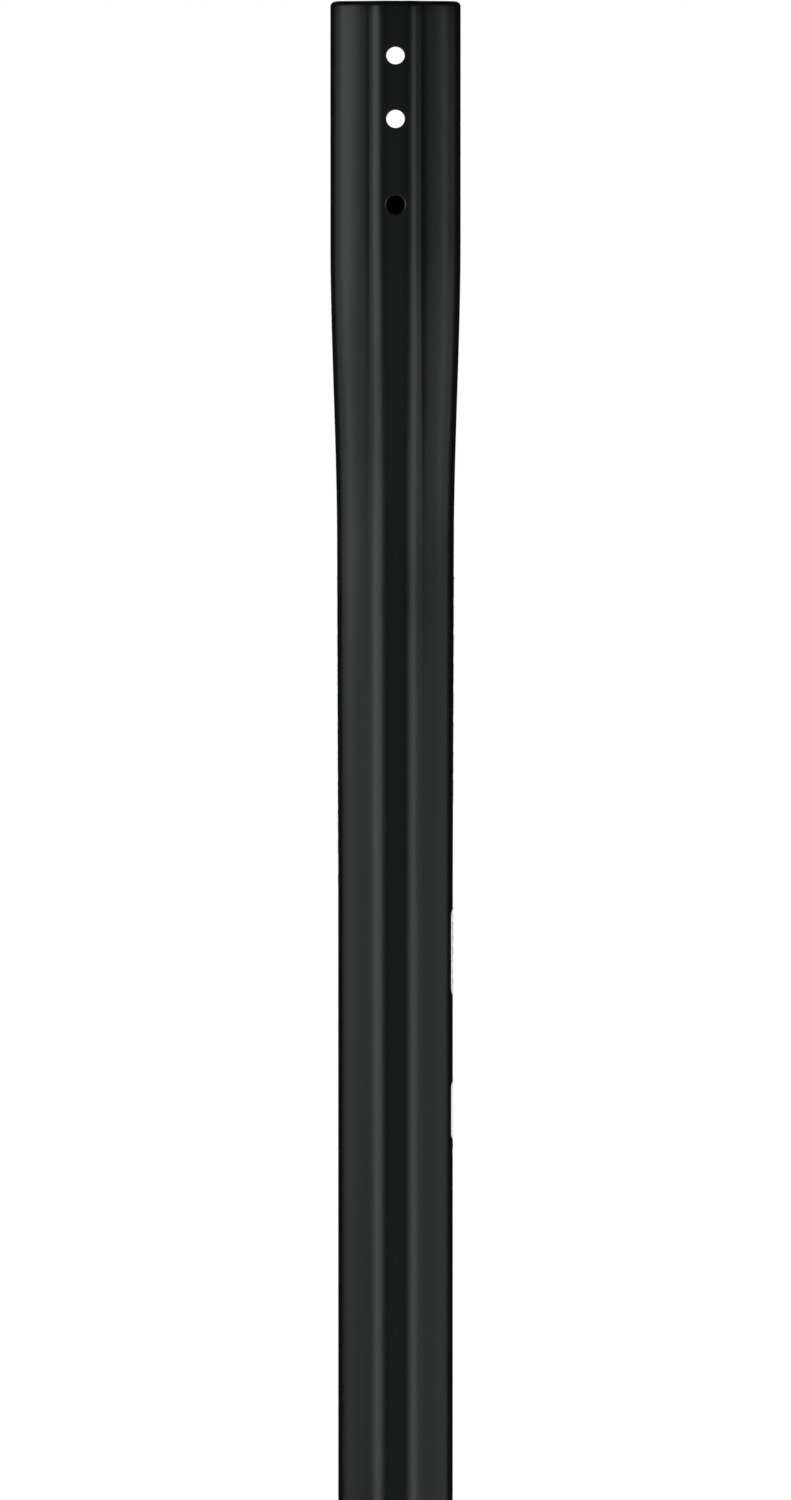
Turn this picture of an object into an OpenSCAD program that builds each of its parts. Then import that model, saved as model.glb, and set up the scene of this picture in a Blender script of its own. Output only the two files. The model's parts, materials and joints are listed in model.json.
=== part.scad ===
// Lacrosse handle: a hollow composite shaft that stands on its rubber end cap.
// The origin is under the cap, on the axis of the grip. +Z runs up to the head end,
// -Y is the narrow face with the screw holes, which the head end flares towards, and +Y is the straight back.
// Heights along the shaft are given as the distance s below the rim of the head end.

/* [Tube] */
// Length of the tube
tube_len = 800; // [400:5:1500]
// Thickness of the tube's wall
wall = 1.7; // [1.2:0.1:2.1]
// Radius of the eight long ridges
ridge_r = 3.2; // [2.6:0.1:3.8]
// Rounding of the rim's outer edge
rim_r = 0.8; // [0.4:0.1:1]
// Chamfer of the rim's inner edge
rim_break = 0.25; // [0.1:0.05:0.3]

/* [Grip section] */
// Width of the grip, across the two wide sides
grip_w = 22.35; // [20:0.05:29]
// Depth of the grip, from the face with the screw holes to the back
grip_d = 25.65; // [23:0.05:30.5]
// Flat width of the grip's narrow faces
grip_face = 4.6; // [3:0.1:6]
// Flat width of the grip's wide sides
grip_side = 9; // [7:0.1:10.5]
// Hollow of the grip's slanted faces
grip_dish = 0.12; // [0.1:0.02:0.5]

/* [Head end] */
// Width of the head end
head_w = 25.3; // [23:0.05:30]
// Depth of the head end at its deepest
head_d = 30.2; // [28:0.05:36]
// Flat width of the head end's narrow faces
head_face = 4.8; // [3:0.1:6]
// Flat width of the head end's wide sides
head_side = 11.2; // [8:0.1:13]
// Hollow of the head end's slanted faces
head_dish = 0.7; // [0.3:0.05:0.9]
// How far the flared face draws in at the rim
lead_in = 0.75; // [0:0.05:1]
// Length over which it draws in
lead_len = 38; // [20:1:44]

/* [Flare] */
// Distance from the rim to where the flare starts to close
flare_from = 46.5; // [46:0.5:60]
// Length over which the flare closes
flare_len = 59.5; // [40:0.5:80]
// How much slimmer than the grip the waist under the flare is
waist_dip = 0.27; // [0:0.01:0.5]
// Length over which the waist widens to the grip's depth
waist_len = 18; // [10:1:30]
// How much wider than the grip the shaft is just under the flare
neck_extra = 0.4; // [0:0.05:1]
// Length of the slow taper from there to the grip's width
taper_len = 65; // [50:1:90]
// Length over which the slanted faces flatten, from where the flare starts to close
dish_len = 124.5; // [60:0.5:250]

/* [Screw holes] */
// Diameter of the screw holes
hole_d = 3.6; // [3:0.1:4.5]
// Distance from the rim to the first hole, through both walls
hole_1 = 10.5; // [8:0.1:14]
// Distance from the rim to the second hole, through both walls
hole_2 = 22.8; // [19:0.1:28]
// Distance from the rim to the third hole, through the flared face only
hole_3 = 39.4; // [34:0.1:46]

/* [End cap] */
// Thickness of the rubber under the tube
cap_foot = 6; // [3:0.5:12]
// Length of tube inside the cap
cap_grip = 32; // [26:1:60]
// Thickness of the cap's sleeve
cap_wall = 1.8; // [1.2:0.1:3]
// Clearance between the tube and the cap
cap_gap = 0.1; // [0.05:0.05:0.3]
// How far the bumper at the foot stands out from the sleeve
bumper_out = 0.9; // [0:0.1:2]
// Height of the bumper
bumper_h = 8; // [6:0.5:12]
// Rounding of the bumper's edges
bumper_r = 2; // [1:0.1:2.5]
// How many ribs run round the sleeve
ribs = 3; // [1:1:4]
// Height of a rib above the sleeve
rib_out = 0.4; // [0.2:0.1:0.6]
// Width of a rib
rib_w = 2; // [1:0.1:2.5]

/* [Printed marks] */
// Thickness of the ink
ink = 0.08; // [0.06:0.01:0.2]
// Width of a dash, across the shaft
dash_w = 5.6; // [3:0.1:7]
// Height of a dash, along the shaft
dash_h = 3.9; // [2:0.1:4.5]
// Distance from one dash to the next
dash_pitch = 5.7; // [5:0.1:6]
// Distance from the rim to the first dash
dash_from = 112; // [108:1:120]
// Width of the octagon mark, across its flats
octagon_w = 8.6; // [6:0.1:8.8]
// Width of the octagon mark's line
octagon_line = 1.5; // [0.6:0.1:2]
// Distance from the rim to the outlined box
box_from = 176.5; // [175:0.5:200]
// Width of the outlined box
box_w = 11; // [9:0.1:12]
// Height of the outlined box
box_h = 16.6; // [14:0.1:18]
// Width of the box's line
line_w = 0.5; // [0.3:0.1:0.8]
// Distance from the box to the square tag
tag_gap = 17; // [10:0.5:30]
// Height of the square tag
tag_h = 11.3; // [9:0.1:13]
// Rounding of the box's and the tag's corners
corner_r = 1.2; // [0.5:0.1:1.5]

/* [Hidden] */

top_z = cap_foot + tube_len;
flare_to = flare_from + flare_len;
waist_to = flare_to + waist_len;
taper_to = flare_to + taper_len;
dish_to = flare_from + dish_len;
neck_w = grip_w + neck_extra;
waist_d = grip_d - waist_dip;

// Steps round a ridge, across a slanted face, and down the lead-in, the flare, the waist and the rest
// of the stretch where the slanted faces flatten
ridge_steps = 3;
dish_steps = 4;
lead_steps = 4;
flare_steps = 14;
waist_steps = 4;
fade_steps = 5;
round_steps = 3;

left = -1;
right = 1;
left_dashes = 9;
right_dashes = 8;
// The box's divider, and the foot and height of each bar, as shares of the box's height from its top
split = 0.66;
bars = [[0.38, 0.2], [0.54, 0.07], [0.88, 0.045]];
bar_share = 0.62;
// The tag and the caption are laid out in squares of this size
pane = box_w / 7;
caption_blocks = 6;
block_w = 0.72 * pane;
block_h = 1.2 * pane;
carbon = [0.055, 0.06, 0.058];
rubber = [0.035, 0.035, 0.037];
white = [0.93, 0.94, 0.93];

// An S-shaped step from 0 to 1, and a straight one
function share(u) = max(0, min(1, u));
function soft(u) = let (v = share(u)) v * v * (3 - 2 * v);

// Sizes of the section at the distance s below the rim
function closed(s) = soft((s - flare_from) / flare_len);
function width(s) = head_w - (head_w - neck_w) * closed(s) - neck_extra * share((s - flare_to) / taper_len);
function depth(s) = head_d - lead_in * pow(1 - share(s / lead_len), 2)
    - (head_d - waist_d) * closed(s) + waist_dip * soft((s - flare_to) / waist_len);
function between(head, grip, s) = head + (grip - head) * closed(s);
function dish(s) = head_dish + (grip_dish - head_dish) * soft((s - flare_from) / dish_len);
// The straight back keeps its place, so the middle of the section moves forward as it deepens
function middle(s) = (grip_d - depth(s)) / 2;

// A run of points on an arc
function arc(c, r, from, to, steps) = [
    for (i = [0 : steps])
        let (a = from + (to - from) * i / steps) c + r * [cos(a), sin(a)]
];

// A quarter of the section, from the wide side to the narrow face, grown by off:
// a ridge, the hollow slanted face between the ridges, and the other ridge
function quarter(s, off) =
    let (
        side_c = [width(s) / 2 - ridge_r, between(head_side, grip_side, s) / 2],
        face_c = [between(head_face, grip_face, s) / 2, depth(s) / 2 - ridge_r],
        span = face_c - side_c,
        half = norm(span) / 2,
        sag = dish(s),
        reach = (half * half + sag * sag) / (2 * sag),
        turn = asin(half / reach),
        out = [span.y, -span.x] / (2 * half),
        lean = atan2(out.y, out.x),
        dish_c = (side_c + face_c) / 2 + out * (reach - sag),
        hollow = arc(dish_c, reach - ridge_r - off, 180 + lean + turn, 180 + lean - turn, dish_steps)
    )
    concat(
        arc(side_c, ridge_r + off, 0, lean + turn, ridge_steps),
        [for (i = [1 : dish_steps - 1]) hollow[i]],
        arc(face_c, ridge_r + off, lean - turn, 90, ridge_steps)
    );

function flip(points, kx, ky) = [
    for (i = [len(points) - 1 : -1 : 0]) [kx * points[i].x, ky * points[i].y]
];

// The whole section at s, grown by off, at height z
function section(s, off, z) =
    let (
        q = quarter(s, off),
        half = concat(q, flip(q, -1, 1)),
        whole = concat(half, [for (p = half) -p])
    )
    [for (p = whole) [p.x, p.y + middle(s), z]];

// Two triangles for each cell of a wall through a stack of rings of n points, numbered from first
function cells(rings, n, first = 0) = [
    for (i = [0 : rings - 2], j = [0 : n - 1])
        let (a = first + i * n + j, b = first + i * n + (j + 1) % n)
        each [[a, a + n, b + n], [a, b + n, b]]
];

// The same faces seen from their other side
function turned(faces) = [for (f = faces) [for (k = [len(f) - 1 : -1 : 0]) f[k]]];

// A closed tube or cup between two stacks of rings, each from the bottom up
module sleeve(outer, inner, floor) {
    n = len(outer[0]);
    shift = len(outer) * n;
    up = len(outer) - 1;
    up_in = len(inner) - 1;
    walls = cells(len(outer), n);
    lining = turned(cells(len(inner), n, shift));
    rim = [for (j = [0 : n - 1]) let (k = (j + 1) % n)
        [up * n + k, up * n + j, shift + up_in * n + j, shift + up_in * n + k]];
    butt = [for (j = [0 : n - 1]) let (k = (j + 1) % n) [j, k, shift + k, shift + j]];
    base = [[for (j = [0 : n - 1]) j], [for (j = [n - 1 : -1 : 0]) shift + j]];
    polyhedron(
        points = concat([for (r = outer) each r], [for (r = inner) each r]),
        faces = concat(walls, lining, rim, floor ? base : butt),
        convexity = 6
    );
}

// The numbers in a list from the largest down, each once
function downwards(list) = len(list) < 2 ? list : concat(
    downwards([for (n = list) if (n > list[0]) n]),
    [list[0]],
    downwards([for (n = list) if (n < list[0]) n])
);

// Distances below the rim where the shape of the tube changes, from the butt up
stations = downwards(concat(
    [tube_len, taper_to, flare_from],
    [for (i = [1 : fade_steps]) waist_to + (dish_to - waist_to) * i / fade_steps],
    [for (i = [1 : waist_steps]) flare_to + waist_len * i / waist_steps],
    [for (i = [1 : flare_steps]) flare_from + flare_len * i / flare_steps],
    [for (i = [1 : lead_steps]) lead_len * i / lead_steps]
));

function at(s, off) = section(s, off, top_z - s);

module shaft_tube() {
    skin = concat(
        [for (s = stations) at(s, 0)],
        [for (i = [0 : round_steps]) let (a = 90 * i / round_steps)
            at(rim_r * (1 - sin(a)), -rim_r * (1 - cos(a)))]
    );
    bore = concat(
        [for (s = stations) at(s, -wall)],
        [at(rim_break, -wall), at(0, rim_break - wall)]
    );
    color(carbon) difference() {
        sleeve(skin, bore, false);
        for (s = [hole_1, hole_2]) screw_hole(s, head_d + 2 * wall);
        screw_hole(hole_3, 3 * wall);
    }
}

// A hole bored from in front of the flared face
module screw_hole(s, deep) {
    translate([0, grip_d / 2 - head_d - wall, top_z - s])
        rotate([-90, 0, 0])
            cylinder(d = hole_d, h = deep, $fn = 32);
}

module end_cap() {
    hug = cap_gap + cap_wall;
    cap_h = cap_foot + cap_grip;
    lip_r = cap_wall / 2;
    rib_space = (cap_h - bumper_h - lip_r) / (ribs + 0.5);
    bumper = concat(
        [for (i = [0 : round_steps]) let (a = 90 * i / round_steps)
            [bumper_r * (1 - cos(a)), bumper_out - bumper_r * (1 - sin(a))]],
        [[bumper_h - bumper_out, bumper_out], [bumper_h, 0]]
    );
    rib = [for (i = [0 : ribs - 1]) let (z = bumper_h + rib_space * (i + 0.75) - rib_w / 2)
        each [[z, 0], [z + rib_w / 4, rib_out], [z + rib_w * 3 / 4, rib_out], [z + rib_w, 0]]];
    lip = [for (i = [0 : round_steps]) let (a = 90 * i / round_steps)
        [cap_h - lip_r * (1 - sin(a)), -lip_r * (1 - cos(a))]];
    outside = [for (p = concat(bumper, rib, lip)) section(tube_len, hug + p[1], p[0])];
    inside = [for (z = [cap_foot, cap_h]) section(tube_len, cap_gap, z)];
    color(rubber) sleeve(outside, inside, true);
}

// The skin of ink on one wide side, from ridge to ridge, which the marks are cut from.
// Its underside has the triangles of the tube under it
module ink_layer(side) {
    low = box_from + box_h + tag_gap + 2 * tag_h;
    function strip(s, off) = let (q = quarter(s, off), a = [for (i = [0 : ridge_steps]) q[i]])
        [for (p = concat(flip(a, 1, -1), a)) [side * p.x, side * p.y + middle(s), top_z - s]];
    heights = concat([low], [for (s = stations) if (s >= flare_to && s < low) s]);
    rings = [for (s = heights) concat(strip(s, 0), turned([strip(s, ink)])[0])];
    n = len(rings[0]);
    top = (len(rings) - 1) * n;
    ends = [[for (j = [0 : n - 1]) j], [for (j = [n - 1 : -1 : 0]) top + j]];
    polyhedron(
        points = [for (r = rings) each r],
        faces = turned(concat(cells(len(rings), n), ends)),
        convexity = 4
    );
}

// Prints a flat drawing on one wide side. Its X runs across the shaft, and its Y along it with 0 at s
module print_on(side, s) {
    intersection() {
        ink_layer(side);
        translate([0, 0, top_z - s])
            rotate([90, 0, side * 90])
                linear_extrude(grip_w) children();
    }
}

module dash_row(count, w, h, pitch) {
    for (i = [0 : count - 1])
        translate([-w / 2, -i * pitch - h]) square([w, h]);
}

module soft_square(w, h) {
    translate([corner_r - w / 2, corner_r - h])
        offset(r = corner_r, $fn = 24) square([w - 2 * corner_r, h - 2 * corner_r]);
}

module dash_print_left() {
    color(white) print_on(left, dash_from) dash_row(left_dashes, dash_w, dash_h, dash_pitch);
}

module octagon(w) {
    rotate(22.5) circle(d = w / cos(22.5), $fn = 8);
}

module octagon_print() {
    s = dash_from + left_dashes * dash_pitch + octagon_w / 2;
    color(white) print_on(left, s) difference() {
        octagon(octagon_w);
        octagon(octagon_w - 2 * octagon_line);
    }
}

module dash_print_right() {
    color(white) print_on(right, dash_from) dash_row(right_dashes, dash_w, dash_h, dash_pitch);
}

module box_print() {
    bar_w = box_w * bar_share;
    color(white) print_on(right, box_from) {
        difference() {
            soft_square(box_w, box_h);
            translate([0, -line_w]) soft_square(box_w - 2 * line_w, box_h - 2 * line_w);
        }
        translate([-box_w / 2 + line_w / 2, -split * box_h]) square([box_w - line_w, line_w]);
        for (b = bars) translate([-bar_w / 2, -b[0] * box_h]) square([bar_w, b[1] * box_h]);
    }
}

module tag_print() {
    color(white) print_on(right, box_from + box_h + tag_gap) difference() {
        soft_square(box_w, tag_h);
        for (i = [-1 : 1], j = [-1 : 1])
            translate([2 * i * pane - pane / 2, 2 * j * pane - pane / 2 - tag_h / 2]) square(pane);
    }
}

module caption_print() {
    first = -(caption_blocks - 1) / 2;
    color(white) print_on(right, box_from + box_h + tag_gap + tag_h + pane)
        for (i = [first : -first])
            translate([i * pane - block_w / 2, -block_h]) square([block_w, block_h]);
}

shaft_tube();
end_cap();
dash_print_left();
octagon_print();
dash_print_right();
box_print();
tag_print();
caption_print();
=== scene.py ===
# %% [markdown]
# # A lacrosse handle in Blender
#
# The object is one hollow composite shaft with a rubber cap on its butt end. Its section is a concave
# octagon: eight soft ridges with a slightly hollow face between each pair. Near the top it flares
# forwards into the deeper section that a lacrosse head slides onto, and three screw holes sit in the
# flared narrow face. The back runs straight from end to end.
#
# The construction comes ready made as a fixed frame. These cells build the smooth surfaces, the
# finishes, the light and the camera around it, and never move or resize a part of it.

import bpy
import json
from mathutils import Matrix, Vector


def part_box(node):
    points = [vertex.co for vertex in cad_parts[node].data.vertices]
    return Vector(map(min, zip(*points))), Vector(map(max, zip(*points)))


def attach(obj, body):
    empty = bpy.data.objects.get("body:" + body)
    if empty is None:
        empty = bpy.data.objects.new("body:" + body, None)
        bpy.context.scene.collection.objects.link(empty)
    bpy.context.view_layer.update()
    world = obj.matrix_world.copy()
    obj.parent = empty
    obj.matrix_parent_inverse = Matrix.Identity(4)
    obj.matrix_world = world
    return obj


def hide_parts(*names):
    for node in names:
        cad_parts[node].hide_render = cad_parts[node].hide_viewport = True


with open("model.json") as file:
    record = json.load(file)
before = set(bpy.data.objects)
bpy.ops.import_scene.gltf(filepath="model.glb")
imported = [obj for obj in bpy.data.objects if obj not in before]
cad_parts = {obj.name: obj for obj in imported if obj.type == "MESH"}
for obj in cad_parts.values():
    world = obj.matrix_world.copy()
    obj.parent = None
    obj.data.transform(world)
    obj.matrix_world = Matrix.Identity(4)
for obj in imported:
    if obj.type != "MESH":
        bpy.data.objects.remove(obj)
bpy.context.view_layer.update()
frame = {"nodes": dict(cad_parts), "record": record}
print("nodes:", sorted(frame["nodes"]))

# %% The tools the cells share
import json
import math

import bmesh
import bpy
from mathutils import Matrix, Vector
from mathutils.bvhtree import BVHTree

MM = 0.001
scene = bpy.context.scene


def evenly(start, end, count):
    """Values from start to end in count equal steps, both ends included."""
    return [start + (end - start) * i / count for i in range(count + 1)]


def put(name, data):
    """A new object in the scene for a mesh, a lamp's data or a camera's data."""
    made = bpy.data.objects.new(name, data)
    scene.collection.objects.link(made)
    return made


def soft_step(u):
    """An S-shaped step from 0 to 1 as u goes from 0 to 1."""
    v = max(0.0, min(1.0, u))
    return v * v * (3 - 2 * v)


def arc(centre, radius, start, end, steps):
    """Points on a circle from one angle to another, in degrees, both ends included."""
    turns = [math.radians(a) for a in evenly(start, end, steps)]
    return [(centre[0] + radius * math.cos(a), centre[1] + radius * math.sin(a)) for a in turns]


# %% [markdown]
# ## Where things are
#
# The overall places are read from the frame. The top of the tube's box is the rim of the head end, its
# lowest ring gives the grip's width and depth, and the record's mounts say where the screw holes are.
# Along the shaft, a place is the distance `s` below the rim, because the flare, the holes and the marks
# are all set out from the head end on the real product too.

# %% Read the driving sizes from the frame
tube_low, tube_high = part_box("shaft_tube")
RIM_Z = tube_high.z
BUTT_Z = tube_low.z
TUBE_LEN = RIM_Z - BUTT_Z
BACK_Y = tube_high.y
HEAD_W = tube_high.x - tube_low.x
HEAD_D = tube_high.y - tube_low.y

butt_ring = [v.co for v in frame["nodes"]["shaft_tube"].data.vertices if v.co.z < BUTT_Z + 0.01 * MM]
GRIP_W = 2 * max(p.x for p in butt_ring)
GRIP_D = max(p.y for p in butt_ring) - min(p.y for p in butt_ring)

mounts = {m["name"]: m for m in frame["record"]["mounts"]}
holes = [mounts[f"head_screw_hole_{i}"] for i in (1, 2, 3)]
HOLE_R = holes[0]["dims"]["r_mm"] * MM
WALL = holes[2]["dims"]["length_mm"] * MM
print(f"grip {GRIP_W / MM:.2f} x {GRIP_D / MM:.2f} mm, head end {HEAD_W / MM:.2f} x {HEAD_D / MM:.2f} mm")

# %% [markdown]
# ## The section and the flare
#
# The section could be drawn by hand at a few heights and lofted, but the highlights along the ridges
# show every wobble of such a loft. A formula keeps them clean. A quarter of the section is a ridge,
# a hollow arc that touches it smoothly, and a second ridge. The hollow arc's centre lies outside the
# shaft, and the same centres serve for the inner wall, so the wall has one thickness all round.
#
# The frame gives every ridge one radius. Moulded ridges are softer where the laminate is bent least, so
# here the ridges beside the wide sides are rounder, and those beside the narrow faces grow rounder down
# to the grip. Each flat then ends a little earlier, so the flats stay where the frame has them. The
# slanted faces lose their hollow a little sooner through the flare than the frame's do, as the
# highlights on such a shaft show.

# %% Sizes of the section and the flare that the boxes don't give
FRAME_RIDGE_R, SIDE_RIDGE_R, HEAD_RIDGE_R, GRIP_RIDGE_R = 3.2 * MM, 5.0 * MM, 3.5 * MM, 4.8 * MM
HALF_CORNER = 22.5                               # degrees: half the turn from one face to the next
FLAT_LOSS = math.tan(math.radians(HALF_CORNER))
HEAD_FACE, GRIP_FACE = 4.8 * MM, 4.6 * MM
HEAD_SIDE, GRIP_SIDE = 11.2 * MM, 9.0 * MM
HEAD_DISH, GRIP_DISH, DISH_LEN = 0.7 * MM, 0.12 * MM, 124.5 * MM
LEAD_IN, LEAD_LEN = 0.75 * MM, 38 * MM
FLARE_FROM, FLARE_LEN = 46.5 * MM, 59.5 * MM
FLARE_TO = FLARE_FROM + FLARE_LEN
WAIST_DIP, WAIST_LEN = 0.27 * MM, 18 * MM
NECK_EXTRA, TAPER_LEN = 0.4 * MM, 65 * MM
RIM_R, RIM_BREAK, RIM_STEPS = 1.1 * MM, 0.25 * MM, 8


def closed(s):
    """How far the flare has closed at s: 0 on the head end and 1 on the grip."""
    return soft_step((s - FLARE_FROM) / FLARE_LEN)


def width(s):
    """Width across the two wide sides at s."""
    taper = max(0.0, min(1.0, (s - FLARE_TO) / TAPER_LEN))
    return HEAD_W - (HEAD_W - GRIP_W - NECK_EXTRA) * closed(s) - NECK_EXTRA * taper


def depth(s):
    """Depth from the flared face to the back at s."""
    lead = LEAD_IN * (1 - min(1.0, s / LEAD_LEN)) ** 2
    waist = WAIST_DIP * soft_step((s - FLARE_TO) / WAIST_LEN)
    return HEAD_D - lead - (HEAD_D - GRIP_D + WAIST_DIP) * closed(s) + waist


def middle(s):
    """Where the middle of the section lies at s. The straight back keeps its place."""
    return BACK_Y - depth(s) / 2


def between(head, grip, s):
    """A size that goes from its head-end value to its grip value through the flare."""
    return head + (grip - head) * closed(s)


def dish(s):
    """How hollow the slanted faces are at s. They flatten over a longer stretch than the flare."""
    left = 1 - max(0.0, min(1.0, (s - FLARE_FROM) / DISH_LEN))
    return GRIP_DISH + (HEAD_DISH - GRIP_DISH) * left * left


print(f"the flare runs from {FLARE_FROM / MM:.1f} to {FLARE_TO / MM:.1f} mm below the rim")

# %% One ring of the section
RIDGE_STEPS, DISH_STEPS, FACE_STEPS, SIDE_STEPS = 8, 12, 12, 6


def side_flat(s):
    """Half the length of the flat of a wide side at s."""
    return between(HEAD_SIDE, GRIP_SIDE, s) / 2 - FLAT_LOSS * (SIDE_RIDGE_R - FRAME_RIDGE_R)


def quarter(s, grow):
    """A quarter of the section from the wide side to the narrow face, grown outwards by grow.

    The hollow's centre is found from its distances to the two ridges' centres, as a circle touches
    another when their centres are the sum of the radii apart.
    """
    face_ridge = between(HEAD_RIDGE_R, GRIP_RIDGE_R, s)
    face_flat = between(HEAD_FACE, GRIP_FACE, s) / 2 - FLAT_LOSS * (face_ridge - FRAME_RIDGE_R)
    side_c = Vector((width(s) / 2 - SIDE_RIDGE_R, side_flat(s)))
    face_c = Vector((face_flat, depth(s) / 2 - face_ridge))
    span = face_c - side_c
    sag, half = dish(s), span.length / 2
    radius = (half * half + sag * sag) / (2 * sag) - (SIDE_RIDGE_R + face_ridge) / 2
    to_side, to_face = radius + SIDE_RIDGE_R, radius + face_ridge
    along = (to_side ** 2 - to_face ** 2 + span.length ** 2) / (2 * span.length)
    out = Vector((span.y, -span.x)).normalized()
    dish_c = side_c + span.normalized() * along + out * math.sqrt(to_side ** 2 - along ** 2)
    side_turn, face_turn = [math.degrees(math.atan2(*(dish_c - c).yx)) for c in (side_c, face_c)]
    hollow = arc(dish_c, radius - grow, 180 + side_turn, 180 + face_turn, DISH_STEPS)
    return (arc(side_c, SIDE_RIDGE_R + grow, 0, side_turn, RIDGE_STEPS) + hollow[1:-1]
            + arc(face_c, face_ridge + grow, face_turn, 90, RIDGE_STEPS))


def flat(start, end, steps):
    """The points between two corners of a flat face, without the two corners."""
    return list(zip(evenly(start[0], end[0], steps), evenly(start[1], end[1], steps)))[1:-1]


def ring(s, grow=0.0, z=None):
    """The whole section at s, anticlockwise from the right wide side, or the same section at a height z."""
    q = quarter(s, grow)
    turned = [(-x, y) for x, y in reversed(q)]
    upper = q + flat(q[-1], turned[0], FACE_STEPS) + turned
    opposite = (-q[0][0], -q[0][1])
    half = upper + flat(turned[-1], opposite, SIDE_STEPS)
    height = RIM_Z - s if z is None else z
    return [Vector((x, y + middle(s), height)) for x, y in half + [(-x, -y) for x, y in half]]


QUARTER = 2 * (RIDGE_STEPS + 1) + DISH_STEPS - 1
HALF = 2 * QUARTER + FACE_STEPS + SIDE_STEPS - 2
BACK_FIRST = QUARTER - 1
FRONT_FIRST = BACK_FIRST + HALF
print("points in a ring:", len(ring(0)), "front face starts at", FRONT_FIRST)

# %% [markdown]
# ## A mesh kit
#
# Rings and holes are joined face by face, so each hole's edge is an even circle of points and no
# boolean leaves slivers next to it. This small class collects points and faces, and remembers for each
# point how near it is to a ridge's crest, which the coat's finish asks for.


# %% Collect points and faces
class Sheet:
    """Points and faces of one piece, gathered ring by ring."""

    def __init__(self):
        self.points, self.crest, self.faces = [], [], []

    def add(self, points, crest=None):
        """Takes a row of points, says how near each is to a ridge's crest, and returns their numbers."""
        first = len(self.points)
        self.points.extend(points)
        self.crest.extend(crest or [0.0] * len(points))
        return list(range(first, len(self.points)))

    def bridge(self, low, high, skip=()):
        """Quads between two closed rows of the same length, except in the columns that skip names."""
        for j in range(len(low)):
            if j not in skip:
                k = (j + 1) % len(low)
                self.faces.append((low[j], low[k], high[k], high[j]))

    def piece(self, name, sharp_angle):
        """The finished mesh object, smooth but for edges sharper than sharp_angle degrees."""
        mesh = bpy.data.meshes.new(name)
        mesh.from_pydata(self.points, [], self.faces)
        mesh.attributes.new("ridge", "FLOAT", "POINT").data.foreach_set("value", self.crest)
        work = bmesh.new()
        work.from_mesh(mesh)
        bmesh.ops.delete(work, geom=[v for v in work.verts if not v.link_faces], context="VERTS")
        bmesh.ops.recalc_face_normals(work, faces=work.faces)
        for edge in work.edges:
            edge.smooth = len(edge.link_faces) == 2 and edge.calc_face_angle() < math.radians(sharp_angle)
        for f in work.faces:
            f.smooth = True
        open_edges = sum(1 for e in work.edges if not e.is_manifold)
        work.to_mesh(mesh)
        work.free()
        print(f"{name}: {len(mesh.vertices)} points, {len(mesh.polygons)} faces, {open_edges} open edges")
        return put(name, mesh)


# %% [markdown]
# ## The tube
#
# On the real shaft the holes are drilled after moulding and the drill's burr is broken with a
# countersink. Only the lowest is cut wide enough to show as a ring. The flat strip of the narrow face is
# a grid of squares. Around each hole a square patch of the grid is left out, and quads run from the
# patch's border to the circle, over the chamfer, through the wall and out to the same patch inside. The
# first two holes go through both walls.

# %% Rows of the tube
PATCH = FACE_STEPS
PATCH_HALF = HEAD_FACE / 2
FLARE_ROWS, FADE_ROWS, GRIP_ROWS = 40, 24, 20
HEAD_ROW_GAP = 2.5 * MM
hole_s = [RIM_Z - h["pos_m"][2] for h in holes]


def row_places():
    """Distances below the rim at which the tube has a ring, and the first row of each hole's patch."""
    waist_to, dish_to = FLARE_TO + WAIST_LEN, FLARE_FROM + DISH_LEN
    marks = [RIM_R]
    for s in hole_s:
        marks += evenly(s - PATCH_HALF, s + PATCH_HALF, PATCH)
    marks += evenly(FLARE_FROM, waist_to, FLARE_ROWS)
    marks += evenly(dish_to, waist_to, FADE_ROWS)[:-1]
    marks += evenly(dish_to, TUBE_LEN, GRIP_ROWS)[1:]
    marks.sort()
    filled = [marks[0]]
    for m in marks[1:]:
        extra = int((m - filled[-1]) / HEAD_ROW_GAP) if m < FLARE_TO else 0
        filled += evenly(filled[-1], m, extra + 1)[1:-1] + [m]
    firsts = [min(range(len(filled)), key=lambda i: abs(filled[i] - (s - PATCH_HALF))) for s in hole_s]
    return filled, firsts


places, patch_rows = row_places()
print("rings:", len(places), "hole patches start at rows", patch_rows)


# %% Patches and circles round the holes
FLARED, BACK = -1, 1
FIRST_COLUMN = {FLARED: FRONT_FIRST, BACK: BACK_FIRST}
CHAMFERS = (0.14 * MM, 0.14 * MM, 0.26 * MM)
DRILLED = ((0, FLARED), (0, BACK), (1, FLARED), (1, BACK), (2, FLARED))


def patch_border(rows, row, column):
    """The points round a square patch of the grid, as numbers, in one turn."""
    top = [rows[row][column + i] for i in range(PATCH)]
    right = [rows[row + i][column + PATCH] for i in range(PATCH)]
    bottom = [rows[row + PATCH][column + PATCH - i] for i in range(PATCH)]
    left = [rows[row + PATCH - i][column] for i in range(PATCH)]
    return top + right + bottom + left


def circle_inside(sheet, border, s, radius, side, sink):
    """A circle of points round a hole, one for each point of the patch's border, sunk into the wall."""
    made = []
    centre = Vector((0, 0, RIM_Z - s))
    for number in border:
        away = sheet.points[number] - centre
        away.y = 0
        place = centre + away.normalized() * radius
        at = RIM_Z - place.z
        place.y = middle(at) + side * (depth(at) / 2 - sink)
        made.append(place)
    return sheet.add(made)


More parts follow.
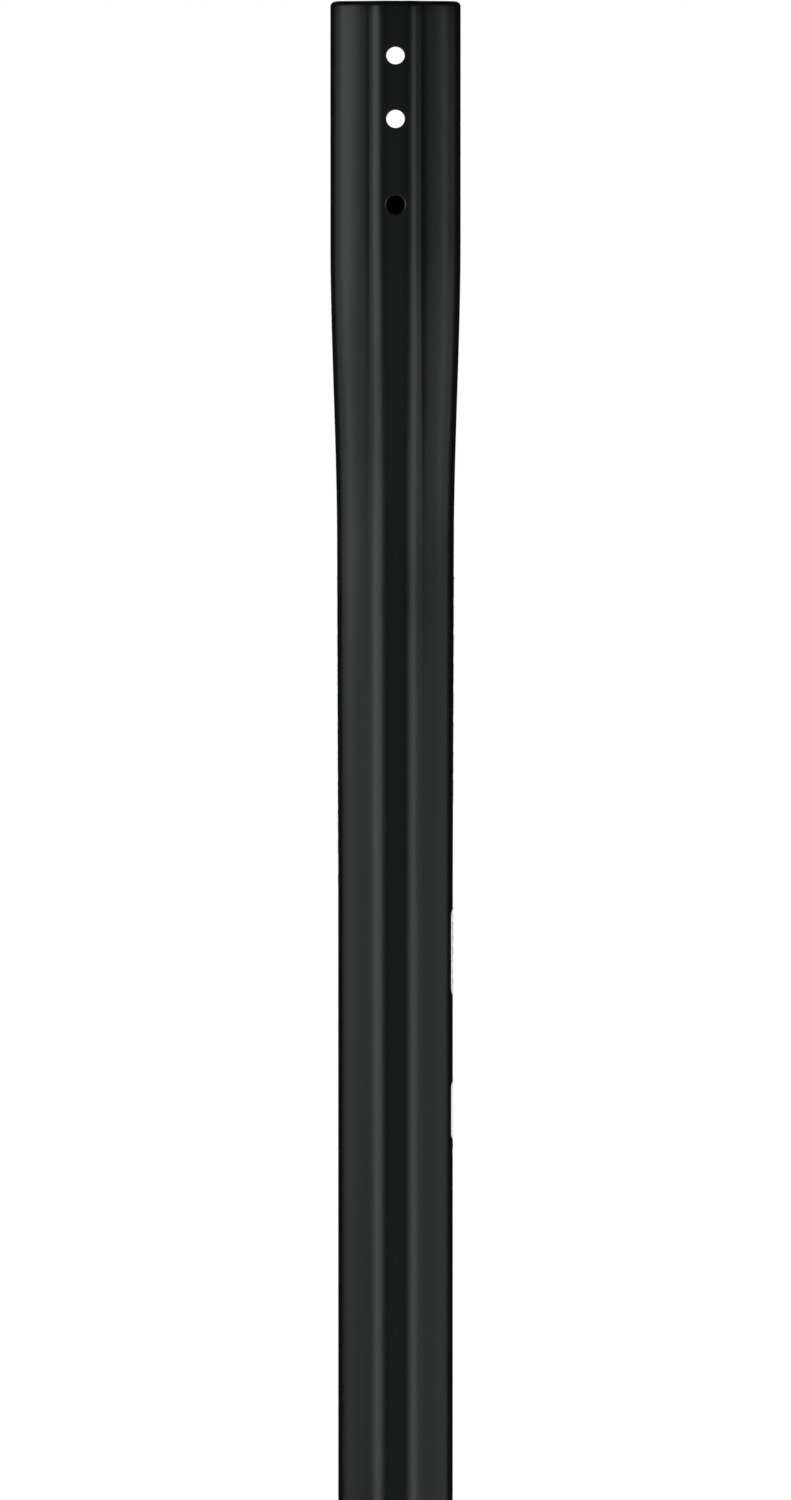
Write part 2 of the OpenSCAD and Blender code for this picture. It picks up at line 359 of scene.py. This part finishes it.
def drill(sheet, skin, lining, number, side):
    """Opens one hole through one wall, its chamfer half as deep as it is wide."""
    row, column, s, chamfer = patch_rows[number], FIRST_COLUMN[side], hole_s[number], CHAMFERS[number]
    outer = patch_border(skin, row, column)
    loops = [
        outer,
        circle_inside(sheet, outer, s, HOLE_R + chamfer, side, 0),
        circle_inside(sheet, outer, s, HOLE_R, side, chamfer / 2),
        circle_inside(sheet, outer, s, HOLE_R, side, WALL),
        patch_border(lining, row, column),
    ]
    for loop, further in zip(loops, loops[1:]):
        sheet.bridge(loop, further)


print("holes to drill:", len(holes), "through", len(DRILLED), "walls")


# %% Build the tube
def crest():
    """For each point of a ring, how near it is to a ridge's crest, for the coat's burnished look there."""
    near = []
    for j in range(2 * HALF):
        k = min(j % HALF, 2 * QUARTER + FACE_STEPS - 2 - j % HALF)
        off_crest = min(abs(k - RIDGE_STEPS / 2), abs(k - (QUARTER - 1 - RIDGE_STEPS / 2)))
        near.append(max(0.0, 1 - off_crest / RIDGE_STEPS))
    return near


def make_tube():
    """The shaft's tube: its skin and lining, the holes, the eased rim and the sawn butt."""
    sheet = Sheet()
    near = crest()
    skin = [sheet.add(ring(s), near) for s in places]
    lining = [sheet.add(ring(s, -WALL)) for s in places]
    for i in range(len(places) - 1):
        gone = set()
        for number, side in DRILLED:
            if patch_rows[number] <= i < patch_rows[number] + PATCH:
                gone |= set(range(FIRST_COLUMN[side], FIRST_COLUMN[side] + PATCH))
        sheet.bridge(skin[i], skin[i + 1], gone)
        sheet.bridge(lining[i], lining[i + 1], gone)
    for number, side in DRILLED:
        drill(sheet, skin, lining, number, side)
    edge = skin[0]
    for turn in evenly(0, 90, RIM_STEPS)[1:]:
        a = math.radians(turn)
        eased = sheet.add(ring(RIM_R * (1 - math.sin(a)), -RIM_R * (1 - math.cos(a))), near)
        sheet.bridge(edge, eased)
        edge = eased
    lip = sheet.add(ring(0, RIM_BREAK - WALL))
    mouth = sheet.add(ring(RIM_BREAK, -WALL))
    sheet.bridge(edge, lip)
    sheet.bridge(lip, mouth)
    sheet.bridge(mouth, lining[0])
    sheet.bridge(skin[-1], lining[-1])
    return sheet.piece("tube_shell", sharp_angle=20)


tube = make_tube()

# %% Compare with the frame
def furthest_corner(node, piece):
    """The furthest that a corner of a CAD node lies from the surface of the piece that shows it, in mm."""
    shown = piece.data
    tree = BVHTree.FromPolygons([v.co for v in shown.vertices], [f.vertices for f in shown.polygons])
    return max(tree.find_nearest(v.co)[3] for v in frame["nodes"][node].data.vertices) / MM


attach(tube, "shaft")
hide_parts("shaft_tube")
print(f"the frame's tube is at most {furthest_corner('shaft_tube', tube):.3f} mm from this one")

# %% [markdown]
# ## The end cap
#
# The cap is moulded rubber: a sleeve that hugs the last stretch of the tube, three soft ribs that keep
# the lower hand from slipping off, and a thicker bumper at the foot. A revolved profile can't make it,
# because it follows the octagon, so the same rings as the tube's are grown outwards by a profile of
# heights and offsets. The sole is hollowed a little, so the cap stands on its edge and not on its middle.

# %% Build the end cap
cap_low, cap_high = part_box("end_cap")
CAP_WALL, CAP_GAP = 1.8 * MM, 0.1 * MM
HUG = CAP_WALL + CAP_GAP
BUMPER_OUT = cap_high.x - GRIP_W / 2 - HUG
BUMPER_H, BUMPER_R = 8 * MM, 2 * MM
RIBS, RIB_OUT, RIB_W = 3, 0.4 * MM, 2 * MM
RIB_END = 0.75                                   # in rib spacings: from bumper to rib, and from rib to lip
SOLE_IN, SOLE_UP = 1.6 * MM, 0.5 * MM
LIP_R = CAP_WALL / 2
MOUTH_IN, MOUTH_DOWN = 0.2 * MM, 0.4 * MM
ROUND_ROWS, STEP_ROWS, RIB_ROWS, LIP_ROWS = 6, 6, 10, 6


def rounding(radius, steps):
    """Rise and inset of the points of a quarter round, from its flat end to its upright one."""
    turns = [math.radians(a) for a in evenly(0, 90, steps)]
    return [(radius * (1 - math.cos(a)), radius * (1 - math.sin(a))) for a in turns]


def cap_outside():
    """Heights and offsets of the cap's outside, from the sole up to the lip."""
    space = (cap_high.z - BUMPER_H - LIP_R) / (RIBS - 1 + 2 * RIB_END)
    profile = [(cap_low.z + rise, HUG + BUMPER_OUT - inset) for rise, inset in rounding(BUMPER_R, ROUND_ROWS)]
    for u in evenly(0, 1, STEP_ROWS):
        profile.append((BUMPER_H - BUMPER_OUT * (1 - u), HUG + BUMPER_OUT * (1 - soft_step(u))))
    for n in range(RIBS):
        foot = BUMPER_H + space * (n + RIB_END) - RIB_W / 2
        for u in evenly(0, 1, RIB_ROWS):
            profile.append((foot + RIB_W * u, HUG + RIB_OUT * math.sin(math.pi * u)))
    for out, rise in arc((HUG - LIP_R, cap_high.z - LIP_R), LIP_R, 0, 90, LIP_ROWS):
        profile.append((rise, out))
    return profile


def make_cap():
    """The cap: its sole, its outside, the mouth over the lip and the floor that the tube stands on."""
    sheet = Sheet()
    outside = cap_outside()
    sole_z, sole_grow = outside[0]
    inner_sole = sole_grow - SOLE_IN
    sole = [(sole_z + SOLE_UP, inner_sole - SOLE_UP), (sole_z, inner_sole)]
    mouth = [(cap_high.z - CAP_GAP, CAP_GAP + MOUTH_IN), (cap_high.z - MOUTH_DOWN, CAP_GAP)]
    floor = [(BUTT_Z, CAP_GAP)]
    loops = [sheet.add(ring(TUBE_LEN, grow, z)) for z, grow in sole + outside + mouth + floor]
    for low, high in zip(loops, loops[1:]):
        sheet.bridge(low, high)
    sheet.faces += [loops[0], loops[-1]]
    return sheet.piece("rubber_end_cap", sharp_angle=40)


cap = make_cap()
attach(cap, "cap")
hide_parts("end_cap")
print(f"the frame's cap is at most {furthest_corner('end_cap', cap):.3f} mm from this one")

# %% [markdown]
# ## The printed marks
#
# The real shaft is screen printed with white ink on its two wide sides. Here plain blocks, an octagon,
# an outlined box and a square tag keep the places and the weight of that print and say nothing. Ink
# could be painted into the coat's material, but a thin raised film catches the light along its edge as
# real ink does, and it stays sharp close up. Each mark is drawn flat, filled, cut into strips where it
# runs over a ridge, and then laid onto the side.

# %% Lay flat drawings on the sides
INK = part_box("tag_print")[1].x - GRIP_W / 2
INK_SUNK = 0.02 * MM
STRIP_W, STRIPS = 0.25 * MM, 8
CORNER_STEPS = 5
print(f"ink film {INK / MM:.3f} mm")


def side_x(y, z, grow):
    """How far out the surface of a wide side is at the place y, z, grown outwards by grow."""
    s = RIM_Z - z
    over = abs(y - middle(s)) - side_flat(s)
    ridge = SIDE_RIDGE_R + grow
    return width(s) / 2 - SIDE_RIDGE_R + (math.sqrt(ridge * ridge - over * over) if over > 0 else ridge)


def rounded(low_y, low_z, high_y, high_z, radius):
    """A loop round a rectangle with rounded corners."""
    corners = [(high_y - radius, high_z - radius, 0), (low_y + radius, high_z - radius, 90),
               (low_y + radius, low_z + radius, 180), (high_y - radius, low_z + radius, 270)]
    return [p for y, z, turn in corners for p in arc((y, z), radius, turn, turn + 90, CORNER_STEPS)]


def print_on(name, side, drawings):
    """Makes one printed piece. Each drawing is a list of loops: its outline, then its windows."""
    film = bmesh.new()
    for loops in drawings:
        edges = []
        for loop in loops:
            corners = [film.verts.new((0, y, z)) for y, z in loop]
            edges += [film.edges.new((a, b)) for a, b in zip(corners, corners[1:] + corners[:1])]
        bmesh.ops.triangle_fill(film, use_beauty=True, edges=edges, normal=(1, 0, 0))
    for sign in (-1, 1):
        for i in range(STRIPS):
            cut = (0, sign * (side_flat(TUBE_LEN) + i * STRIP_W), 0)
            everything = film.verts[:] + film.edges[:] + film.faces[:]
            bmesh.ops.bisect_plane(film, geom=everything, dist=1e-7, plane_co=cut, plane_no=(0, 1, 0))
    under = film.verts[:]
    raised = bmesh.ops.extrude_face_region(film, geom=film.faces[:])
    upper = [v for v in raised["geom"] if isinstance(v, bmesh.types.BMVert)]
    for verts, grow in ((under, -INK_SUNK), (upper, INK)):
        for v in verts:
            v.co.x = side * side_x(v.co.y, v.co.z, grow)
    bmesh.ops.recalc_face_normals(film, faces=film.faces)
    mesh = bpy.data.meshes.new(name)
    open_edges = sum(1 for e in film.edges if not e.is_manifold)
    film.to_mesh(mesh)
    film.free()
    made = put(name, mesh)
    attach(made, "shaft")
    print(f"{name}: {len(mesh.polygons)} faces, {open_edges} open edges")
    return made


def islands(node):
    """The separate solids of a CAD node, as their boxes across and along the shaft, from the top down."""
    work = bmesh.new()
    work.from_mesh(frame["nodes"][node].data)
    bmesh.ops.remove_doubles(work, verts=work.verts, dist=1e-6)
    left, boxes = set(work.verts), []
    while left:
        todo, found = [left.pop()], []
        while todo:
            v = todo.pop()
            found.append(v.co.copy())
            near = {e.other_vert(v) for e in v.link_edges} & left
            left -= near
            todo += near
        ys, zs = [p.y for p in found], [p.z for p in found]
        boxes.append((min(ys), min(zs), max(ys), max(zs)))
    work.free()
    return sorted(boxes, key=lambda b: (-round(b[3], 5), b[0]))


# %% Rows of blocks and the octagon
LEFT, RIGHT = -1, 1
BLOCK_R, WINDOW_R = 0.35 * MM, 0.2 * MM
OCTAGON_LINE = 1.5 * MM
marks = []
for node, side in (("dash_print_left", LEFT), ("dash_print_right", RIGHT), ("caption_print", RIGHT)):
    drawings = [[rounded(*box, BLOCK_R)] for box in islands(node)]
    piece = print_on(node + "_ink", side, drawings)
    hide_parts(node)
    marks.append(piece)
    print(node, "has", len(drawings), "blocks")


def octagon(centre_z, across):
    """A loop of eight corners, as wide from flat to flat as across."""
    reach = across / 2 / math.cos(math.radians(HALF_CORNER))
    return arc((0, centre_z), reach, HALF_CORNER, 360 - HALF_CORNER, 7)


_, low_z, _, high_z = islands("octagon_print")[0]
middle_z, across = (low_z + high_z) / 2, high_z - low_z
badge_loops = [octagon(middle_z, across), octagon(middle_z, across - 2 * OCTAGON_LINE)]
badge = print_on("octagon_print_ink", LEFT, [badge_loops])
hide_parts("octagon_print")
marks.append(badge)

# %% The outlined box
LINE_W, CORNER_R, SPLIT = 0.5 * MM, 1.2 * MM, 0.66


def inset(box, by):
    """A box that is smaller by the same amount on every side."""
    return (box[0] + by, box[1] + by, box[2] - by, box[3] - by)


*bars, outline = sorted(islands("box_print"), key=lambda b: b[3] - b[1])
divider_z = outline[3] - SPLIT * (outline[3] - outline[1])
low_y, low_z, high_y, high_z = inset(outline, LINE_W)
rooms = [(low_y, divider_z + LINE_W, high_y, high_z), (low_y, low_z, high_y, divider_z)]
frame_loops = [rounded(*outline, CORNER_R)] + [rounded(*room, CORNER_R - LINE_W) for room in rooms]
label = print_on("box_print_ink", RIGHT, [frame_loops] + [[rounded(*bar, WINDOW_R)] for bar in bars])
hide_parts("box_print")

# %% The square tag
PANES = 7                                        # across the tag: four bars and three windows, equally wide
plate = islands("tag_print")[0]
pane = (plate[2] - plate[0]) / PANES
mid_y, mid_z = (plate[0] + plate[2]) / 2, (plate[1] + plate[3]) / 2
tag_loops = [rounded(*plate, CORNER_R)]
for across_panes in (-2, 0, 2):
    for up_panes in (-2, 0, 2):
        y, z = mid_y + across_panes * pane, mid_z + up_panes * pane
        tag_loops.append(rounded(y - pane / 2, z - pane / 2, y + pane / 2, z + pane / 2, WINDOW_R))
tag = print_on("tag_print_ink", RIGHT, [tag_loops])
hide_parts("tag_print")
marks += [label, tag]

# %% [markdown]
# ## Shader arithmetic
#
# A finish is mostly sums: a bit of grain, plus a bit of mottling, times a mask. Wiring Math nodes by
# hand hides the sum, so a small class wraps an output socket and lets Python's operators add the nodes.
# One method makes every other node.


# %% Wires and graphs
class Wire:
    """An output socket that takes part in Python arithmetic."""

    def __init__(self, graph, socket):
        self.graph, self.socket = graph, socket

    def __add__(self, other):
        return self.graph.maths("ADD", self, other)

    def __sub__(self, other):
        return self.graph.maths("SUBTRACT", self, other)

    def __rsub__(self, other):
        return self.graph.maths("SUBTRACT", other, self)

    def __mul__(self, other):
        return self.graph.maths("MULTIPLY", self, other)

    __radd__, __rmul__ = __add__, __mul__


class Graph:
    """The nodes of one material or of the world."""

    def __init__(self, tree):
        self.tree = tree
        tree.nodes.clear()

    def node(self, kind, settings=None, sockets=None, out=0):
        """Makes a node, applies its settings, fills or links its sockets, and returns one output."""
        made = self.tree.nodes.new(kind)
        for key, value in (settings or {}).items():
            setattr(made, key, value)
        for key, value in (sockets or {}).items():
            if isinstance(value, Wire):
                self.tree.links.new(value.socket, made.inputs[key])
            else:
                made.inputs[key].default_value = value
        return Wire(self, made.outputs[out]) if made.outputs else None

    def maths(self, operation, a, b):
        """A Math node on wires or numbers."""
        return self.node("ShaderNodeMath", {"operation": operation}, {0: a, 1: b})

    def tint(self, factor, a, b):
        """A colour between a and b."""
        return self.node("ShaderNodeMix", {"data_type": "RGBA"}, {0: factor, 6: a, 7: b}, 2)

    def noise(self, scale, detail=2.0, stretch=(1, 1, 1), roughness=0.5):
        """Noise fixed to the object: scale is in blobs a metre, before the stretch."""
        place = self.node("ShaderNodeTexCoord", out="Object")
        place = self.node("ShaderNodeVectorMath", {"operation": "MULTIPLY"}, {0: place, 1: stretch})
        return self.node("ShaderNodeTexNoise", {}, {"Vector": place, "Scale": scale, "Detail": detail,
                                                    "Roughness": roughness}, "Fac")

    def bump(self, height, distance, normal=None):
        """A bump of the given height in metres, on top of another bump's normal if there is one."""
        sockets = {"Height": height, "Distance": distance, "Strength": 1.0}
        if normal is not None:
            sockets["Normal"] = normal
        return self.node("ShaderNodeBump", {}, sockets, "Normal")


def new_material(name):
    """A material without nodes, and the graph that its nodes go into."""
    material = bpy.data.materials.new(name)
    material.use_nodes = True
    return material, Graph(material.node_tree)


def finish(name, build):
    """A material whose Principled sockets come from build, which is given the material's graph."""
    material, graph = new_material(name)
    surface = graph.node("ShaderNodeBsdfPrincipled", {}, build(graph), "BSDF")
    graph.node("ShaderNodeOutputMaterial", {}, {"Surface": surface})
    print("finish", name, "has", len(material.node_tree.nodes), "nodes")
    return material


# %% [markdown]
# ## The coat
#
# The shaft's coat is a thin satin-matte black, a little cool and green in tone. Four things keep it from
# looking like a flat colour. The laminate under it leaves slow ripples, which make the highlights along
# the ridges waver. The spray leaves a fine grain and a slow mottling. And the crests of the ridges, where
# hands and racks rub, are a touch smoother than the faces. The tube has this one finish all over, its
# lining, holes and sawn ends too.


# %% The coat's finish
def coat_sockets(g):
    """The satin black coat of the tube."""
    ripple = g.noise(95, 2.0, (1, 1, 0.55))
    grain = g.noise(4200, 2.0)
    mottle = g.noise(38, 3.0, (1, 1, 0.4))
    ridge = g.node("ShaderNodeAttribute", {"attribute_name": "ridge"}, {}, "Fac")
    rippled = g.bump(ripple, 0.12 * MM)
    return {
        "Base Color": g.tint(mottle, (0.0008, 0.0015, 0.0013, 1), (0.0016, 0.0023, 0.0021, 1)),
        "Roughness": 0.42 + 0.05 * (mottle - 0.5) + 0.06 * (grain - 0.5) - 0.1 * ridge,
        "Specular IOR Level": 0.15,
        "Specular Tint": (0.975, 1.0, 0.99, 1),
        "Normal": g.bump(grain, 0.004 * MM, rippled),
    }


tube.data.materials.append(finish("satin_black_coat", coat_sockets))


# %% [markdown]
# ## Rubber and ink
#
# The cap's rubber is duller and greyer than the coat. A blasted mould gives it a fine stipple, and it
# blooms in slow pale patches. The ink is a neutral white film with the grain of the screen in it, worn
# thin in small spots.


# %% The rubber's and the ink's finish
def rubber_sockets(g):
    """The cap's moulded rubber."""
    stipple = g.noise(2300, 3.0, roughness=0.65)
    bloom = g.noise(60, 4.0)
    return {
        "Base Color": g.tint(bloom, (0.010, 0.010, 0.0105, 1), (0.021, 0.021, 0.021, 1)),
        "Roughness": 0.66 + 0.2 * (stipple - 0.5) + 0.12 * (bloom - 0.5),
        "Specular IOR Level": 0.35,
        "Normal": g.bump(stipple, 0.05 * MM),
    }


def ink_sockets(g):
    """The screen printed ink."""
    screen = g.noise(3600, 1.0)
    wear = g.noise(420, 4.0, roughness=0.7)
    thin = g.node("ShaderNodeMapRange", {}, {"Value": wear, "From Min": 0.62, "From Max": 0.78}, "Result")
    return {
        "Base Color": g.tint(thin * 0.35, (0.83, 0.84, 0.83, 1), (0.55, 0.56, 0.56, 1)),
        "Roughness": 0.5 + 0.14 * (screen - 0.5),
        "Specular IOR Level": 0.4,
        "Normal": g.bump(screen, 0.008 * MM),
    }


cap.data.materials.append(finish("moulded_rubber", rubber_sockets))
white_ink = finish("white_ink", ink_sockets)
for piece in marks:
    piece.data.materials.append(white_ink)

# %% [markdown]
# ## Light, floor and background
#
# The shaft is read by its highlights: one soft line down each ridge and a broader glow on the hollow
# faces. On each side of the camera a key lamp draws the lines, a fill lamp further round reaches the
# hollow faces, and a weak soft lamp further in eases the lines' inner edges. The left side is the
# stronger, and its fill is a trace violet, which keeps that side from looking as green as the rest. The
# right side's key and fill are shorter and lower, so its light fades towards the rim. One more lamp,
# right behind, lights the back.
#
# A lamp is turned the shortest way from facing the floor to facing the shaft, so it also leans sideways,
# by its azimuth: a little in front, and almost onto its side far round. The glow on the slanted faces
# then changes slowly along the shaft instead of stopping at the end of a lamp.
#
# The background is white for the camera and for reflections. Grey cards, which only reflections see,
# keep it off the coat, and a dark lid above keeps it off the rim. The floor is a pale disc that fades
# out and keeps the shadow. From below it is clear, because the cap comes off downwards, through the
# floor, and can only be seen from there.


# %% Strip lamps
LAMP_AWAY, BACK_LAMP_AWAY = 1.3, 1.6


def strip(name, azimuth, wide, tall, centre_z, watts, away=LAMP_AWAY, colour=(1, 1, 1)):
    """A rectangular lamp that faces the shaft. Azimuth 0 is in front of the drilled face."""
    data = bpy.data.lights.new(name, "AREA")
    data.shape = "RECTANGLE"
    data.size, data.size_y = wide, tall
    data.energy = watts
    data.color = colour
    turn = math.radians(azimuth)
    from_axis = Vector((math.sin(turn), -math.cos(turn), 0)) * away
    facing = (-from_axis).to_track_quat("-Z", "Z").to_matrix().to_4x4()
    lamp = put(name, data)
    lamp.matrix_world = Matrix.Translation(from_axis + Vector((0, 0, centre_z))) @ facing
    lamp.visible_camera = False
    print(f"{name}: {watts / (math.pi * wide * tall):.2f} watts per square metre and steradian")


strip("key_left", azimuth=-47.3, wide=0.8, tall=1.3, centre_z=0.72, watts=17.5)
strip("fill_left", azimuth=-78, wide=0.45, tall=1.3, centre_z=0.6, watts=3.9, colour=(1.0, 0.97, 1.02))
strip("key_right", azimuth=44.5, wide=0.86, tall=0.7, centre_z=0.5, watts=11.2)
strip("fill_right", azimuth=82, wide=0.6, tall=0.6, centre_z=0.46, watts=3.1)
strip("soft_left", azimuth=-21, wide=0.25, tall=0.7, centre_z=0.4, watts=0.55)
strip("soft_right", azimuth=21, wide=0.25, tall=0.7, centre_z=0.4, watts=1.0)
strip("back", azimuth=180, wide=0.6, tall=1.3, centre_z=0.72, watts=6, away=BACK_LAMP_AWAY)


# %% Grey cards
CARD_AWAY, CARD_STEPS = 2.0, 8
CARD_LOW, CARD_SPLIT, CARD_HIGH = -0.6, 0.8, 2.2


def card(name, azimuth, spread, grey, low=CARD_LOW, high=CARD_HIGH):
    """A grey card that only the object's reflections see, spread degrees wide about an azimuth.

    It stands from the height low to the height high. Where they are the same, it lies flat as a lid.
    """
    turns = [math.radians(a) for a in evenly(azimuth - spread / 2, azimuth + spread / 2, CARD_STEPS)]
    rows = [(CARD_AWAY, low), (CARD_AWAY if low < high else 0.0, high)]
    corners = [(math.sin(a) * reach, -math.cos(a) * reach, z) for reach, z in rows for a in turns]
    row = len(turns)
    mesh = bpy.data.meshes.new(name)
    mesh.from_pydata(corners, [], [(i, i + 1, i + row + 1, i + row) for i in range(CARD_STEPS)])
    made = put(name, mesh)
    material, graph = new_material(name)
    glow = graph.node("ShaderNodeEmission", {}, {"Color": (grey, grey, grey, 1), "Strength": 1.0})
    graph.node("ShaderNodeOutputMaterial", {}, {"Surface": glow})
    mesh.materials.append(material)
    made.visible_camera = made.visible_diffuse = made.visible_shadow = False
    made.visible_transmission = made.visible_volume_scatter = False
    print(f"{name}: grey {grey}, {spread} degrees wide, from {low} to {high} m")


card("card_front", azimuth=0, spread=60, grey=0.035, high=CARD_SPLIT)
card("card_top", azimuth=0, spread=60, grey=0.0, low=CARD_SPLIT)
card("card_left", azimuth=-65, spread=70, grey=0.3)
card("card_right", azimuth=65, spread=70, grey=0.2)
card("card_back", azimuth=180, spread=160, grey=0.02)
card("card_lid", azimuth=0, spread=360, grey=0.02, low=CARD_HIGH)

# %% The world
FILL = 0.3
world = bpy.data.worlds.new("studio")
scene.world = world
world.use_nodes = True
sky = Graph(world.node_tree)
camera_ray, glossy_ray, through_ray = (sky.node("ShaderNodeLightPath", out=name) for name in
                                       ("Is Camera Ray", "Is Glossy Ray", "Is Transmission Ray"))
seen = sky.node("ShaderNodeClamp", {}, {"Value": camera_ray + glossy_ray + through_ray})
fill = sky.node("ShaderNodeBackground", {}, {"Color": (1, 1, 1, 1), "Strength": FILL})
white = sky.node("ShaderNodeBackground", {}, {"Color": (1, 1, 1, 1), "Strength": 1.0})
mixed = sky.node("ShaderNodeMixShader", {}, {0: seen, 1: fill, 2: white})
sky.node("ShaderNodeOutputWorld", {}, {"Surface": mixed})
print("the world is white where it is seen, and lights the object at", FILL)

# %% The floor
FLOOR_R, FADE_FROM, FADE_TO = 1.2, 0.25, 1.14


def make_floor():
    """A disc with the shaft's foot at its centre, clear at its rim and from below."""
    mesh = bpy.data.meshes.new("floor")
    disc = bmesh.new()
    bmesh.ops.create_circle(disc, cap_ends=True, segments=96, radius=FLOOR_R)
    disc.to_mesh(mesh)
    disc.free()
    made = put("floor", mesh)
    material, graph = new_material("pale_floor")
    place = graph.node("ShaderNodeTexCoord", out="Object")
    away = graph.node("ShaderNodeVectorMath", {"operation": "LENGTH"}, {0: place}, "Value")
    fade = graph.node("ShaderNodeMapRange", {"interpolation_type": "SMOOTHSTEP"},
                      {"Value": away, "From Min": FADE_FROM, "From Max": FADE_TO}, "Result")
    paint = graph.node("ShaderNodeBsdfDiffuse", {}, {"Color": (0.86, 0.86, 0.86, 1)})
    clear = graph.node("ShaderNodeBsdfTransparent", {}, {"Color": (1, 1, 1, 1)})
    from_below = graph.node("ShaderNodeNewGeometry", out="Backfacing")
    gone = graph.maths("MAXIMUM", fade, from_below)
    surface = graph.node("ShaderNodeMixShader", {}, {0: gone, 1: paint, 2: clear})
    graph.node("ShaderNodeOutputMaterial", {}, {"Surface": surface})
    mesh.materials.append(material)
    print(f"floor: {FLOOR_R} m in radius, fades from {FADE_FROM} to {FADE_TO} m")


make_floor()

# %% [markdown]
# ## Camera
#
# The shaft is seen square on to its drilled face, from far enough away that its sides stay parallel.
# The camera stands level with the screw holes, so that the light shows through them, and looks down
# a little to take in the top third of the shaft.

# %% Place the camera
CAMERA_AWAY = 2.7
VIEW_TALL = 0.2924
VIEW_TOP = RIM_Z + 0.5 * MM
CAMERA_Z = RIM_Z - 30 * MM
aim = Vector((0, 0, VIEW_TOP - VIEW_TALL / 2))
stand = Vector((0, -CAMERA_AWAY, CAMERA_Z))
camera_data = bpy.data.cameras.new("camera")
camera_data.sensor_width = 36
camera_data.lens = camera_data.sensor_width * (aim - stand).length / VIEW_TALL
camera_data.clip_end = 40
camera = put("camera", camera_data)
camera.location = stand
camera.rotation_mode = "QUATERNION"
camera.rotation_quaternion = (aim - stand).to_track_quat("-Z", "Y")
bpy.context.scene.camera = camera
scene.view_settings.view_transform = "Standard"
print(f"a lens of {camera_data.lens:.0f} mm shows {VIEW_TALL / MM:.0f} mm from top to bottom")
